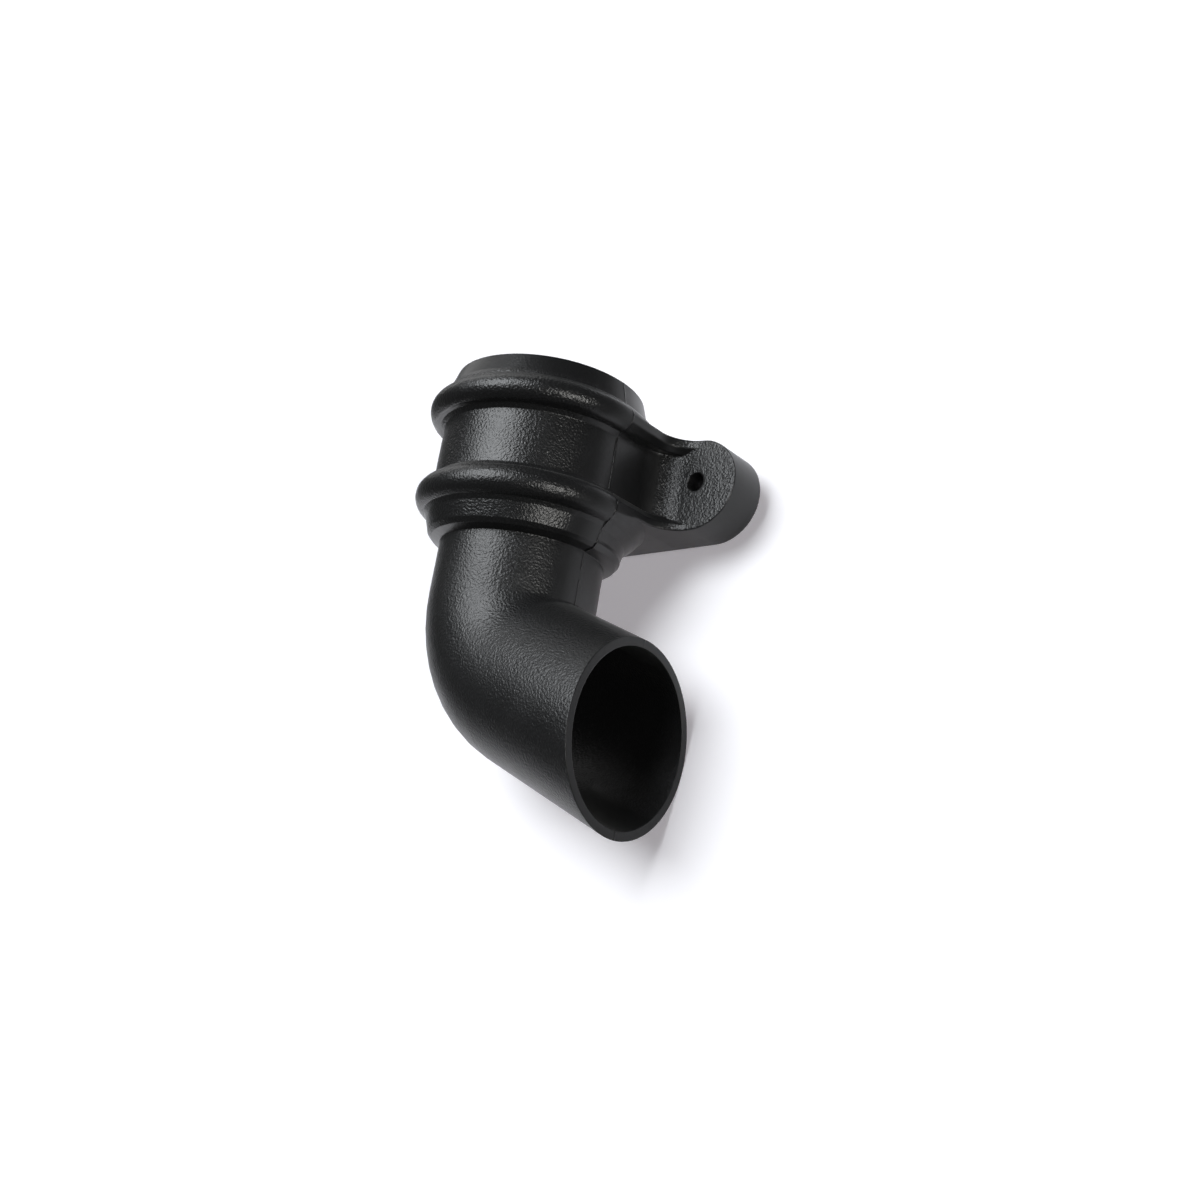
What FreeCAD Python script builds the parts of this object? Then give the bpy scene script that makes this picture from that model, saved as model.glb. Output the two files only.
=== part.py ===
"""Downpipe shoe: a one-piece moulded rainwater shoe with a beaded socket and two wall lugs.

Millimetres. The origin is on the socket's axis, on the stop where the downpipe ends.
+Z runs up the downpipe, +X is the way the outlet points and +Y goes into the wall.
"""
import FreeCAD, Part

import math
import os

from FreeCAD import Vector

# Downpipe and socket
pipe_od = 68.0            # round downpipe that the socket takes
pipe_clearance = 0.75     # gap all round between pipe and socket
socket_depth = 67.0       # stop to rim
socket_wall = 6.5         # barrel between the beads
rim_swell = 0.9           # foot of the tapered rim stands this far outside the barrel
rim_draw_in = 1.2         # its top edge stands this far inside the barrel
lead_in = 2.0             # chamfer inside the rim

# Beads round the socket
upper_bead_z = 50.7       # height of the bead under the rim, above the stop
upper_bead_height = 7.05  # crest above the barrel wall
upper_bead_r = 5.8        # half of the bead's round section
lower_bead_z = 13.0
lower_bead_height = 6.1
lower_bead_r = 6.5
bead_root = 1.8           # reach of the sloped root where a bead meets the wall
rim_root = 4.5            # hollow root above the upper bead, into the rim
rear_root = 8.5           # hollow root under the lower bead, in the rear half
lug_root = 1.5            # sloped root between the lower bead and the lugs' underside

# Collar band and shoulder under the lower bead
collar_wall = 4.95        # band thickness outside the bore, at its lower edge
collar_flare = 2.0        # band widens this much up to the bead, in the front half
collar_drop = 1.3         # lower edge of the band, below the stop
shoulder_drop = 3.0       # crowned underside of the collar, down to the neck
crown_width = 1.7         # steeper slope of the crown, next to the band
crown_drop = 1.75
parting_step = 0.4        # rear half of the moulding stands proud at the parting line

# Neck, bend and outlet
tube_wall = 3.1
neck_length = 24.7        # collar edge to the start of the bend
bend_inner_r = 1.0        # tight throat of the bend
outlet_angle = 68.9       # turn of the outlet from straight down, degrees
outlet_straight = 52.6    # end of the bend to the middle of the mouth, along the tube

# Wall lugs
lug_reach = 18.4          # barrel wall to the middle of the rounded end
lug_r = 19.3              # rounded end
lug_z = 32.4              # height of the rounded end's middle above the stop
lug_taper = 2.2           # spread of the top and bottom edges towards the barrel, degrees
lug_thickness = 18.6      # flat back to front face
back_gap = 0.7            # flat back stands this far behind the widest bead
web_sweep_r = 12.5        # hollow curve from the barrel to the lug's face
ridge_sweep_r = 12.2      # same curve along the crest of each ridge
upper_ridge_half = 4.6    # steep inner side of the upper ridge, from its bead's middle
upper_ridge_bevel = 2.4   # broken inner edge
lower_ridge_half = 6.0
lower_ridge_bevel = 3.5
screw_hole_d = 8.0
screw_hole_rise = 1.2     # hole above the middle of the rounded end

# Cored back of the lugs
lug_wall = 3.2            # rim round the core
lug_front_wall = 3.6      # front wall left by the core
core_inset = 30.0         # core starts this far from the socket's axis
boss_wall = 3.2           # screw boss round the hole

# Derived sizes
bore_r = pipe_od / 2 + pipe_clearance
barrel_r = bore_r + socket_wall
collar_r = bore_r + collar_wall
tube_r = pipe_od / 2
waterway_r = tube_r - tube_wall
collar_z = -collar_drop
bend_r = tube_r + bend_inner_r
bend_top_z = collar_z - neck_length
turn = math.radians(outlet_angle)
outlet_dir = Vector(math.sin(turn), 0, -math.cos(turn))
bend_end = Vector(bend_r * (1 - math.cos(turn)), 0, bend_top_z - bend_r * math.sin(turn))
mouth_centre = bend_end + outlet_dir * outlet_straight
upper_crest_r = barrel_r + upper_bead_height
lower_crest_r = barrel_r + lower_bead_height
back_y = max(upper_crest_r, lower_crest_r) + back_gap
face_y = back_y - lug_thickness
lug_x = barrel_r + lug_reach
spread = math.radians(lug_taper)
root_half_height = lug_r / math.cos(spread) + lug_x * math.tan(spread)
lug_low_z = lug_z - root_half_height
hole_z = lug_z + screw_hole_rise
hole_r = screw_hole_d / 2

UP = Vector(0, 0, 1)
TO_WALL = Vector(0, 1, 0)
ORIGIN = Vector(0, 0, 0)
OVERRUN = 10.0            # how far a cutting tool runs past what it cuts


class Outline:
    """A chain of lines and arcs that becomes a flat face."""

    def __init__(self, start):
        self.start = start
        self.here = start
        self.edges = []

    def line(self, point):
        self.edges.append(Part.LineSegment(self.here, point).toShape())
        self.here = point
        return self

    def arc(self, middle, point):
        self.edges.append(Part.Arc(self.here, middle, point).toShape())
        self.here = point
        return self

    def face(self):
        if not self.here.isEqual(self.start, 1e-7):
            self.line(self.start)
        return Part.Face(Part.Wire(self.edges))


def on_circle(centre, radius, direction):
    return centre + Vector(direction).normalize() * radius


def root_points(centre, bead_r, wall_r, reach, side):
    """Start, middle and end of a hollow root from a wall to a bead, above or below the bead."""
    x = wall_r + reach
    z = centre.z + side * math.sqrt((bead_r + reach) ** 2 - (x - centre.x) ** 2)
    hollow = Vector(x, 0, z)
    touch = on_circle(centre, bead_r, hollow - centre)
    middle = on_circle(hollow, reach, (touch - hollow).normalize() + Vector(-1, 0, 0))
    return Vector(wall_r, 0, z), middle, touch


def add_bead(outline, z, crest_r, bead_r, low_wall_r, high_wall_r, low_root, high_root):
    """Run an outline up one wall, round a bead with its roots, and onto the wall above."""
    centre = Vector(crest_r - bead_r, 0, z)
    low_wall, low_middle, low_touch = root_points(centre, bead_r, low_wall_r, low_root, -1)
    high_wall, high_middle, high_touch = root_points(centre, bead_r, high_wall_r, high_root, 1)
    outline.line(low_wall)
    if low_root > bead_root:
        outline.line(low_middle)
    outline.line(low_touch)
    outline.arc(Vector(crest_r, 0, z), high_touch)
    if high_root > bead_root:
        outline.line(high_middle)
    outline.line(high_wall)


def socket_half(start, proud, flare, low_root):
    """Half of the socket's outside, with its beads, collar, shoulder and neck, turned from start."""
    band_r = collar_r + proud
    outline = Outline(Vector(0, 0, bend_top_z))
    outline.line(Vector(tube_r, 0, bend_top_z))
    outline.line(Vector(tube_r, 0, collar_z - shoulder_drop - proud))
    outline.line(Vector(band_r - crown_width, 0, collar_z - crown_drop - proud))
    outline.line(Vector(band_r, 0, collar_z))
    add_bead(outline, lower_bead_z, lower_crest_r, lower_bead_r, band_r + flare, barrel_r, low_root,
             bead_root)
    add_bead(outline, upper_bead_z, upper_crest_r, upper_bead_r, barrel_r, barrel_r + rim_swell, bead_root,
             rim_root)
    outline.line(Vector(barrel_r - rim_draw_in, 0, socket_depth))
    outline.line(Vector(0, 0, socket_depth))
    face = outline.face()
    face.rotate(ORIGIN, UP, start)
    return face.revolve(ORIGIN, UP, 180)


def socket_and_neck():
    """Front and rear halves: the rear one stands proud at the collar and has a wide root above it."""
    front = socket_half(180, 0, collar_flare, bead_root)
    rear = socket_half(0, parting_step, 0, rear_root)
    return front.fuse([rear, lug_root_ring()])


def lug_root_ring():
    """Sloped ring that eases the lower bead into the underside of the lugs, in the rear half."""
    bead = Vector(lower_crest_r - lower_bead_r, 0, lower_bead_z)
    under_z = lug_z - lug_r / math.cos(spread) - (lug_x - lower_crest_r) * math.tan(spread)
    touch = root_points(bead, lower_bead_r, collar_r + parting_step, rear_root, -1)[2]
    outer = Vector(lower_crest_r + lug_root, 0, under_z)
    outline = Outline(touch)
    outline.line(outer)
    outline.line(Vector(outer.x, 0, lower_bead_z))
    outline.line(Vector(bead.x, 0, lower_bead_z))
    ring = outline.face().revolve(ORIGIN, UP, 180)
    room = Part.makeBox(2 * lower_crest_r, back_y, 2 * lower_bead_r,
                        Vector(-lower_crest_r, 0, lower_bead_z - lower_bead_r))
    return ring.common(room)


def bend_and_outlet(radius, overrun):
    """Round bar along the bend and the outlet, to a vertical cut or past it."""
    ring = Part.Face(Part.Wire(Part.makeCircle(radius, Vector(0, 0, bend_top_z), UP)))
    bend = ring.revolve(Vector(bend_r, 0, bend_top_z), Vector(0, -1, 0), outlet_angle)
    length = outlet_straight + radius / math.tan(turn) + OVERRUN
    outlet = Part.makeCylinder(radius, length, bend_end, outlet_dir)
    cut_x = mouth_centre.x + overrun
    room = 4 * (tube_r + outlet_straight)
    inside = Part.makeBox(room, 2 * room, 2 * room, Vector(cut_x - room, -room, bend_top_z - room))
    return bend.fuse(outlet.common(inside))


def lug_slab(side_x, sweep_r, low_z, high_z):
    """Slab between two heights: straight back from the parting line, then swept onto the lug's face."""
    end_x = lug_x + lug_r
    centre = Vector(side_x + sweep_r, face_y - sweep_r, low_z)
    plan = Outline(Vector(0, 0, low_z))
    plan.line(Vector(side_x, 0, low_z))
    plan.line(Vector(side_x, centre.y, low_z))
    plan.arc(on_circle(centre, sweep_r, Vector(-1, 1, 0)), Vector(centre.x, face_y, low_z))
    plan.line(Vector(end_x, face_y, low_z))
    plan.line(Vector(end_x, back_y, low_z))
    plan.line(Vector(0, back_y, low_z))
    return plan.face().extrude(UP * (high_z - low_z))


def ridge(crest_r, low_z, high_z, inner_z, bevel):
    """A bead's run-out: a slab with its inner edge broken, swept onto the lug's face."""
    slab = lug_slab(crest_r, ridge_sweep_r, low_z, high_z)
    curves = [e for e in slab.Edges if isinstance(e.Curve, Part.Circle)]
    inner = min(curves, key=lambda e: abs(e.CenterOfMass.z - inner_z))
    return slab.makeChamfer(bevel, [inner])


def lug():
    """One lug: a block with a round end, hollowed in front between two ridges."""
    lug_high_z = lug_low_z + 2 * root_half_height
    upper_z = upper_bead_z - upper_ridge_half
    lower_z = lower_bead_z + lower_ridge_half
    block = lug_slab(barrel_r + parting_step, web_sweep_r, lug_low_z, lug_high_z)
    body = block.fuse([ridge(upper_crest_r, upper_z, lug_high_z, upper_z, upper_ridge_bevel),
                       ridge(lower_crest_r, lug_low_z, lower_z, lower_z, lower_ridge_bevel)])
    return body.common(round_ended_bar(0, lug_r, 0, back_y))


def round_ended_bar(start_x, radius, front_y, rear_y):
    """Bar along X that narrows to a round end, between two depths."""
    touch_x = lug_x + radius * math.sin(spread)
    touch_rise = radius * math.cos(spread)
    root_rise = radius / math.cos(spread) + (lug_x - start_x) * math.tan(spread)
    outline = Outline(Vector(start_x, front_y, lug_z - root_rise))
    outline.line(Vector(touch_x, front_y, lug_z - touch_rise))
    outline.arc(Vector(lug_x + radius, front_y, lug_z), Vector(touch_x, front_y, lug_z + touch_rise))
    outline.line(Vector(start_x, front_y, lug_z + root_rise))
    return outline.face().extrude(TO_WALL * (rear_y - front_y))


def lug_core():
    """Hollow moulded into a lug's back, leaving a rim, a front wall and the screw boss."""
    core = round_ended_bar(core_inset, lug_r - lug_wall, face_y + lug_front_wall, back_y + OVERRUN)
    boss = screw_bar(hole_r + boss_wall)
    barrel = Part.makeCylinder(barrel_r + parting_step, 2 * root_half_height, Vector(0, 0, lug_low_z), UP)
    return core.cut([boss, barrel])


def screw_bar(radius):
    """Round bar through a lug on the screw's axis."""
    return Part.makeCylinder(radius, back_y + 2 * OVERRUN, Vector(lug_x, -OVERRUN, hole_z), TO_WALL)


def both_sides(shape):
    return [shape, shape.mirror(ORIGIN, Vector(1, 0, 0))]


def waterway():
    """Everything that is open inside: socket, lead-in, neck, bend and outlet."""
    socket = Part.makeCylinder(bore_r, socket_depth + OVERRUN)
    chamfer = Part.makeCone(bore_r, bore_r + lead_in + OVERRUN, lead_in + OVERRUN,
                            Vector(0, 0, socket_depth - lead_in), UP)
    neck = Part.makeCylinder(waterway_r, -bend_top_z + OVERRUN, Vector(0, 0, bend_top_z), UP)
    return socket.fuse([chamfer, neck, bend_and_outlet(waterway_r, OVERRUN)])


def downpipe_shoe():
    outside = socket_and_neck().fuse([bend_and_outlet(tube_r, 0)] + both_sides(lug()))
    hollows = [waterway()] + both_sides(lug_core()) + both_sides(screw_bar(hole_r))
    return outside.cut(hollows).removeSplitter()


os.makedirs("parts", exist_ok=True)
shoe = downpipe_shoe()
shoe.exportStep("parts/downpipe_shoe.step")
print("solids", len(shoe.Solids), "valid", shoe.isValid(), "volume cm3", round(shoe.Volume / 1000, 1))
print("box", shoe.BoundBox)
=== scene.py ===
"""Looks of the downpipe shoe: black moulded plastic with a cast grain, lying on a white table.

Metres, in the part's own frame: +Z up the downpipe, +X the way the outlet points, +Y into the wall.
The shoe lies on its back in the photograph, so the table is the pale plane behind it.
"""

import math

import bpy
from mathutils import Matrix, Vector

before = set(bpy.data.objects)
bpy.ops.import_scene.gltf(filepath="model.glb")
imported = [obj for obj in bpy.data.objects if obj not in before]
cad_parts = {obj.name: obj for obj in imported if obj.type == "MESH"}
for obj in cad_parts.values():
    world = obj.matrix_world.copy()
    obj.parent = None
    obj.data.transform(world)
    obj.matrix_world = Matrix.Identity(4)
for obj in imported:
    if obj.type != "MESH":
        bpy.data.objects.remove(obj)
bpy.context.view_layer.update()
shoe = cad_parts["downpipe_shoe"]

# Camera, as fitted to the photograph: direction from the part, roll and distance
IMAGE_PX = 1200
CAMERA_AZIMUTH = math.radians(-47.91)
CAMERA_ELEVATION = math.radians(-14.46)
CAMERA_ROLL = math.radians(9.40)
CAMERA_DISTANCE = 0.49288
FOCAL_PX = 1200
AIM_PX = (523.11, 549.97)       # pixel of the aim point
AIM_POINT = Vector((0.0, 0.0, -0.0013))
SENSOR_WIDTH = 36.0
CLIP_NEAR = 0.01
CLIP_FAR = 50.0

# Table: just clear of the outlet's back and a little behind the lugs, as the photograph's shadows show
TABLE_AT_LUGS = Vector((0.0, 0.0535, 0.0125))
TABLE_AT_OUTLET = Vector((0.0, 0.0350, -0.0776))
TABLE_SIZE = 6.0
TABLE_WHITE = (0.87, 0.87, 0.88, 1.0)
TABLE_LIFT = 0.23               # plain light added for the camera and for reflections
LIFT_TINT = (1.0, 0.94, 1.02, 1.0)
PAPER_MIDDLE = Vector((-0.115, 0.048, 0.03))
PAPER_EDGE = (0.10, 0.38)       # the part meets white paper out to here; beyond it the table is painted grey, a painted shade for bounced light and reflections that stands for a dim room
# Painted shade: the table's colour beyond the paper, seen only by bounced light and reflections; the camera
# still sees white
ROOM_SHADE_GREY = (0.10, 0.10, 0.10, 1.0)

# Lamps: name, direction the light comes from, angular width in degrees, strength, tint
LAMPS = (
    ("key", (-0.14, -0.91, 0.39), 45, 2.8, (0.97, 1.0, 1.03)),
    ("side", (0.90, -0.39, -0.19), 20, 1.05, (1.0, 0.99, 0.96)),
    ("left", (-0.75, -0.02, 0.66), 32, 0.21, (1.0, 1.0, 1.0)),
    ("top", (-0.41, -0.17, 0.90), 40, 0.27, (1.0, 1.0, 1.0)),
)
ROOM_LIGHT = 0.05

# Places on the part where its looks change, each from start to end
WEB_X = (0.0414, 0.0418)        # the hollow between socket and lug
WEB_Y = (0.001, 0.003)
LUG_X = (0.0400, 0.0415)
LUG_Y = (-0.0010, 0.0010)
LUG_BOTTOM_Z = (0.0075, 0.0095)
LUG_TOP_Z = (0.0545, 0.0560)
RIM_Z = (0.0585, 0.0600)
NECK_Z = (-0.006, -0.003)

# Grain: it lies on faces that turn this far to the front, with an edge that wanders a little
GRAIN_FACING = (0.24, 0.40)
EDGE_WANDERS_PER_M = 160.0
EDGE_WANDER_DETAIL = 3.0
EDGE_WANDER = 0.12
NOISE_MIDDLE = 0.5
LUG_GRAIN_LATER = 0.28          # the smooth side of a lug runs on into its hollow
LUG_GRAIN_GAIN = 1.5            # the grain is coarser on the lugs' faces
RIM_GRAIN = 0.30                # the grain is faint on the rim
PEBBLES_PER_M = 1100.0
PEBBLE_DETAIL = 1.5
PEBBLE_MM = 0.28
SPECKS_PER_M = 2500.0
SPECK_DETAIL = 1.0
SPECK_MM = 0.012
SKIN_MM = 0.06                  # the grained skin stands this far off the smooth one

# Flash along the parting line, slow waves in the skin, softened edges
FLASH_MM = 0.22
FLASH_WIDTH = 0.0007
FLASH_BREAKS_PER_M = 240.0
FLASH_BREAK = (0.35, 0.60)      # noise below this breaks the flash,
FLASH_LEAST = 0.15              # down to this share of its height
WAVES_PER_M = 90.0
WAVE_MM = 0.10
EDGE_ROUND = 0.0006
LUG_EDGE_ROUND = 0.0013
ROUNDING_SAMPLES = 8
MM = 0.001

# Colour and shine: dust in the grain's pits and in blotches, duller lugs and neck
BLACK = (0.0070, 0.0072, 0.0075, 1.0)
DUSTY_BLACK = (0.0130, 0.0132, 0.0137, 1.0)
PIT_HEIGHT = (0.35, 0.55)
PIT_DUST = 0.5
BLOTCHES_PER_M = 55.0
BLOTCH_DETAIL = 4.0
BLOTCH_DUST = 0.4
BLOTCH_RANGE = (0.3, 0.7)
ROUGHNESS = (0.28, 0.34)
LUG_DULL = 0.04                 # added roughness
NECK_DULL = 0.07
IOR = 1.56
SHEEN = 0.06
SHEEN_ROUGHNESS = 0.35

# Sockets of Blender's mix node that carry colours: factor, first and second colour, and the result
MIX_INPUTS = (0, 6, 7)
MIX_RESULT = 2


class Graph:
    """Adds nodes to one shader tree and links them."""

    def __init__(self, tree):
        self.tree = tree
        tree.nodes.clear()

    def put(self, socket, value):
        if isinstance(value, bpy.types.NodeSocket):
            self.tree.links.new(value, socket)
        else:
            socket.default_value = value

    def add(self, kind, inputs=None, **settings):
        node = self.tree.nodes.new(kind)
        for name, value in settings.items():
            setattr(node, name, value)
        for name, value in (inputs or {}).items():
            self.put(node.inputs[name], value)
        return node

    def math(self, operation, *values):
        node = self.add("ShaderNodeMath", operation=operation)
        for socket, value in zip(node.inputs, values):
            self.put(socket, value)
        return node.outputs[0]

    def ramp(self, value, low, high, to_low=0.0, to_high=1.0):
        """Smooth step of a value from low..high to to_low..to_high."""
        inputs = {"Value": value, "From Min": low, "From Max": high, "To Min": to_low, "To Max": to_high}
        return self.add("ShaderNodeMapRange", inputs, interpolation_type="SMOOTHSTEP").outputs["Result"]

    def noise(self, coords, scale, detail=2.0):
        inputs = {"Vector": coords, "Scale": scale, "Detail": detail}
        return self.add("ShaderNodeTexNoise", inputs).outputs[0]

    def split(self, vector):
        return self.add("ShaderNodeSeparateXYZ", {"Vector": vector}).outputs

    def mix(self, share, first, second):
        """Colour between two, by a share."""
        inputs = dict(zip(MIX_INPUTS, (share, first, second)))
        return self.add("ShaderNodeMix", inputs, data_type="RGBA").outputs[MIX_RESULT]


def moulded_plastic():
    """Black plastic: pebbled where the mould faced the front, smooth by the parting line and edges."""
    material = bpy.data.materials.new("black_moulding")
    material.use_nodes = True
    g = Graph(material.node_tree)
    place = g.add("ShaderNodeTexCoord").outputs
    point = place["Object"]
    x, y, z = g.split(point)
    sideways = g.math("ABSOLUTE", x)

    # Where the grain lies
    to_front = g.math("MULTIPLY", g.split(place["Normal"])[1], -1.0)
    wander = g.math("SUBTRACT", g.noise(point, EDGE_WANDERS_PER_M, EDGE_WANDER_DETAIL), NOISE_MIDDLE)
    front = g.math("ADD", to_front, g.math("MULTIPLY", wander, EDGE_WANDER))
    at_web = g.math("MULTIPLY", g.ramp(sideways, *WEB_X), g.ramp(y, *WEB_Y))
    front = g.math("SUBTRACT", front, g.math("MULTIPLY", at_web, LUG_GRAIN_LATER))
    grained = g.math("MULTIPLY", g.ramp(front, *GRAIN_FACING), g.ramp(z, *RIM_Z, 1.0, RIM_GRAIN))

    # Where the lugs are
    at_lug = g.math("MULTIPLY", g.ramp(sideways, *LUG_X), g.ramp(z, *LUG_BOTTOM_Z))
    at_lug = g.math("MULTIPLY", at_lug, g.ramp(z, *LUG_TOP_Z, 1.0, 0.0))
    at_lug = g.math("MULTIPLY", at_lug, g.ramp(y, *LUG_Y))

    # Height in millimetres
    pebbles = g.noise(point, PEBBLES_PER_M, PEBBLE_DETAIL)
    specks = g.noise(point, SPECKS_PER_M, SPECK_DETAIL)
    grain = g.math("ADD", g.math("MULTIPLY", pebbles, PEBBLE_MM), g.math("MULTIPLY", specks, SPECK_MM))
    grain = g.math("MULTIPLY", grain, g.ramp(at_lug, 0.0, 1.0, 1.0, LUG_GRAIN_GAIN))
    grain = g.math("MULTIPLY", g.math("ADD", grain, SKIN_MM), grained)
    at_line = g.ramp(g.math("ABSOLUTE", y), 0.0, FLASH_WIDTH, 1.0, 0.0)
    broken = g.ramp(g.noise(point, FLASH_BREAKS_PER_M), *FLASH_BREAK, FLASH_LEAST, 1.0)
    flash = g.math("MULTIPLY", g.math("MULTIPLY", at_line, FLASH_MM), broken)
    waves = g.math("MULTIPLY", g.noise(point, WAVES_PER_M), WAVE_MM)
    height = g.math("ADD", g.math("ADD", grain, flash), waves)

    rounding = g.ramp(at_lug, 0.0, 1.0, EDGE_ROUND, LUG_EDGE_ROUND)
    rounded = g.add("ShaderNodeBevel", {"Radius": rounding}, samples=ROUNDING_SAMPLES).outputs["Normal"]
    bump = g.add("ShaderNodeBump", {"Height": height, "Distance": MM, "Strength": 1.0, "Normal": rounded})

    # Colour and shine
    blotch = g.noise(point, BLOTCHES_PER_M, BLOTCH_DETAIL)
    in_pits = g.math("MULTIPLY", g.ramp(pebbles, *PIT_HEIGHT, 1.0, 0.0), grained)
    dust = g.math("ADD", g.math("MULTIPLY", in_pits, PIT_DUST), g.math("MULTIPLY", blotch, BLOTCH_DUST))
    dull = g.math("MAXIMUM", g.math("MULTIPLY", at_lug, LUG_DULL), g.ramp(z, *NECK_Z, NECK_DULL, 0.0))
    roughness = g.math("ADD", g.ramp(blotch, *BLOTCH_RANGE, *ROUGHNESS), dull)

    plastic = g.add("ShaderNodeBsdfPrincipled",
                    {"Base Color": g.mix(dust, BLACK, DUSTY_BLACK), "Roughness": roughness, "IOR": IOR,
                     "Sheen Weight": SHEEN, "Sheen Roughness": SHEEN_ROUGHNESS,
                     "Normal": bump.outputs["Normal"]})
    g.add("ShaderNodeOutputMaterial", {"Surface": plastic.outputs["BSDF"]})
    return material


def table_white():
    """White table top: plain from the front, clear from behind so that the part's back can be seen."""
    material = bpy.data.materials.new("table_white")
    material.use_nodes = True
    g = Graph(material.node_tree)
    rays = g.add("ShaderNodeLightPath").outputs
    surface = g.add("ShaderNodeNewGeometry").outputs
    away = g.add("ShaderNodeVectorMath", {0: surface["Position"], 1: PAPER_MIDDLE}, operation="DISTANCE")
    # Painted shade: past the paper the table turns grey for bounced light and reflections, standing for a
    # dim room
    paper = g.ramp(away.outputs["Value"], *PAPER_EDGE, 1.0, 0.0)
    paper = g.math("MAXIMUM", paper, rays["Is Camera Ray"])
    top = g.add("ShaderNodeBsdfDiffuse", {"Color": g.mix(paper, ROOM_SHADE_GREY, TABLE_WHITE)})
    seen = g.math("MAXIMUM", rays["Is Camera Ray"], rays["Is Glossy Ray"])
    seen = g.math("MULTIPLY", g.math("MAXIMUM", seen, rays["Is Transmission Ray"]), paper)
    strength = g.math("MULTIPLY", seen, TABLE_LIFT)
    lift = g.add("ShaderNodeEmission", {"Color": LIFT_TINT, "Strength": strength})
    lit = g.add("ShaderNodeAddShader", {0: top.outputs[0], 1: lift.outputs[0]})
    clear = g.add("ShaderNodeBsdfTransparent")
    sides = g.add("ShaderNodeMixShader",
                  {0: surface["Backfacing"], 1: lit.outputs[0], 2: clear.outputs[0]})
    g.add("ShaderNodeOutputMaterial", {"Surface": sides.outputs[0]})
    return material


def add_table():
    """Large plane behind the part, facing the camera's side."""
    along = (TABLE_AT_LUGS - TABLE_AT_OUTLET).normalized()
    across = Vector((-1, 0, 0))
    half = TABLE_SIZE / 2
    corners = [(-half, -half), (half, -half), (half, half), (-half, half)]
    points = [TABLE_AT_LUGS + along * a + across * b for a, b in corners]
    mesh = bpy.data.meshes.new("table")
    mesh.from_pydata([tuple(p) for p in points], [], [(0, 1, 2, 3)])
    mesh.materials.append(table_white())
    table = bpy.data.objects.new("table", mesh)
    bpy.context.scene.collection.objects.link(table)


def add_camera():
    """Camera where the photograph was taken from."""
    cos_el = math.cos(CAMERA_ELEVATION)
    away = Vector((cos_el * math.cos(CAMERA_AZIMUTH), cos_el * math.sin(CAMERA_AZIMUTH),
                   math.sin(CAMERA_ELEVATION)))
    forward = -away
    level = forward.cross(Vector((0, 0, 1))).normalized()
    upright = level.cross(forward)
    right = level * math.cos(CAMERA_ROLL) + upright * math.sin(CAMERA_ROLL)
    up = upright * math.cos(CAMERA_ROLL) - level * math.sin(CAMERA_ROLL)
    px = CAMERA_DISTANCE / FOCAL_PX
    place = (AIM_POINT + away * CAMERA_DISTANCE
             - right * (AIM_PX[0] - IMAGE_PX / 2) * px
             + up * (AIM_PX[1] - IMAGE_PX / 2) * px)
    data = bpy.data.cameras.new("camera")
    data.sensor_width = SENSOR_WIDTH
    data.lens = SENSOR_WIDTH * FOCAL_PX / IMAGE_PX
    data.clip_start = CLIP_NEAR
    data.clip_end = CLIP_FAR
    camera = bpy.data.objects.new("camera", data)
    turn = Matrix((right, up, -forward)).transposed()
    camera.matrix_world = Matrix.Translation(place) @ turn.to_4x4()
    bpy.context.scene.collection.objects.link(camera)
    bpy.context.scene.camera = camera


def add_lamp(name, come_from, degrees, strength, tint):
    """Soft lamp of an angular width, far off in a direction."""
    data = bpy.data.lights.new(name, "SUN")
    data.energy = strength
    data.color = tint
    data.angle = math.radians(degrees)
    lamp = bpy.data.objects.new(name, data)
    lamp.rotation_mode = "QUATERNION"
    lamp.rotation_quaternion = (-Vector(come_from)).to_track_quat("-Z", "Y")
    bpy.context.scene.collection.objects.link(lamp)


def set_world():
    """A room that is white to the camera and through clear things, and dim where the plastic mirrors it."""
    world = bpy.data.worlds.new("studio")
    bpy.context.scene.world = world
    world.use_nodes = True
    g = Graph(world.node_tree)
    rays = g.add("ShaderNodeLightPath").outputs
    seen = g.math("MAXIMUM", rays["Is Camera Ray"], rays["Is Transmission Ray"])
    strength = g.ramp(seen, 0.0, 1.0, ROOM_LIGHT, 1.0)
    background = g.add("ShaderNodeBackground", {"Color": (1, 1, 1, 1), "Strength": strength})
    g.add("ShaderNodeOutputWorld", {"Surface": background.outputs[0]})


shoe.data.materials.clear()
shoe.data.materials.append(moulded_plastic())
add_table()
add_camera()
for lamp_row in LAMPS:
    add_lamp(*lamp_row)
set_world()
bpy.context.scene.view_settings.view_transform = "Standard"
